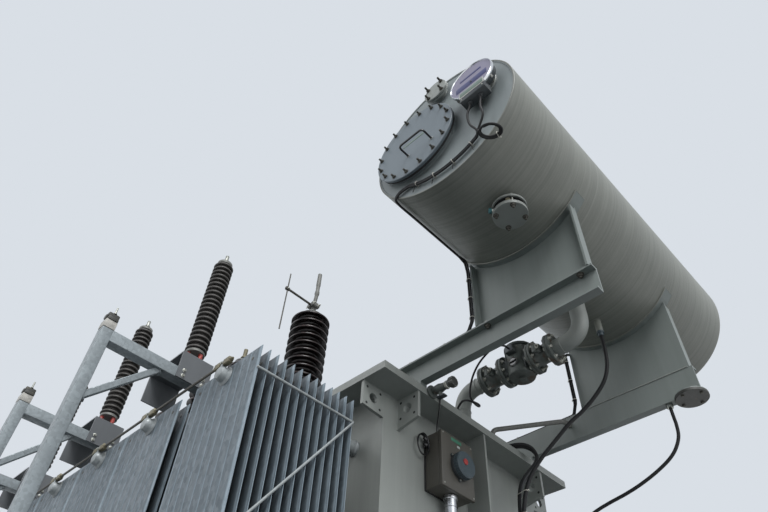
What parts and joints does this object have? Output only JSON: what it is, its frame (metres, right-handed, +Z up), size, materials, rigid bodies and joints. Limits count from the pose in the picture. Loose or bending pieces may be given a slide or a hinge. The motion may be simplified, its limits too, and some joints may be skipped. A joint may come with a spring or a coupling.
{
  "type": "power transformer",
  "caption": "Oil-filled power transformer on a skid, with cantilevered conservator, radiator banks, porcelain bushings and surge arresters on posts.",
  "frame": {"origin": "on the floor under the middle of the tank, on the underside of the skid's middle cross member", "axes": "+X out of the end that carries the conservator, -Y the long side with the arrester frames, +Z up"},
  "size_m": [4.786, 3.4988, 4.5979],
  "materials": {
    "grey_green_paint": "satin",
    "box_paint": "satin",
    "galvanised_steel": "galvanised, spangled",
    "cast_fittings": "aged paint",
    "arrester_polymer": "matt",
    "brown_glaze": "gloss",
    "gauge_casing": "satin",
    "bare_aluminium": "bright",
    "cable_rubber": "matt"
  },
  "bodies": {
    "root": {"arrester_1": "arrester_polymer", "arrester_2": "arrester_polymer", "arrester_3": "arrester_polymer", "arrester_bracket_1": "grey_green_paint", "arrester_bracket_2": "grey_green_paint", "arrester_bracket_3": "grey_green_paint", "arrester_frame_1": "galvanised_steel", "arrester_frame_2": "galvanised_steel", "arrester_frame_3": "galvanised_steel", "beam_conduit": "bare_aluminium", "beam_far": "grey_green_paint", "beam_near": "grey_green_paint", "blank_nozzle": "grey_green_paint", "conduit": "bare_aluminium", "conservator_end_far": "grey_green_paint", "conservator_end_near": "grey_green_paint", "conservator_shell": "grey_green_paint", "control_cabinet": "grey_green_paint", "cover_lead_1": "cable_rubber", "cover_lead_2": "cable_rubber", "far_hose": "cable_rubber", "far_lead": "cable_rubber", "gas_relay": "cast_fittings", "gauge_lead": "cable_rubber", "inlet_valve": "cast_fittings", "level_gauge": "gauge_casing", "manhole_cover": "grey_green_paint", "neutral_bushing": "brown_glaze", "neutral_terminal": "bare_aluminium", "phase_bushing_1": "brown_glaze", "phase_bushing_2": "brown_glaze", "phase_bushing_3": "brown_glaze", "radiator_left_1": "galvanised_steel", "radiator_left_2": "galvanised_steel", "radiator_left_3": "galvanised_steel", "radiator_left_4": "galvanised_steel", "radiator_left_5": "galvanised_steel", "radiator_left_6": "galvanised_steel", "radiator_right_1": "galvanised_steel", "radiator_right_2": "galvanised_steel", "radiator_right_3": "galvanised_steel", "radiator_right_4": "galvanised_steel", "radiator_right_5": "galvanised_steel", "radiator_right_6": "galvanised_steel", "radiator_tie_left": "bare_aluminium", "radiator_tie_right": "bare_aluminium", "relay_lead": "cable_rubber", "relay_pipe_lower": "grey_green_paint", "relay_pipe_upper": "grey_green_paint", "relay_valve": "cast_fittings", "saddle_far": "grey_green_paint", "saddle_near": "grey_green_paint", "skid_base": "grey_green_paint", "sump_valve": "cast_fittings", "tank": "grey_green_paint", "tank_cover": "grey_green_paint", "thermometer_box": "box_paint", "vent_hose": "cable_rubber"}
  },
  "joints": []
}
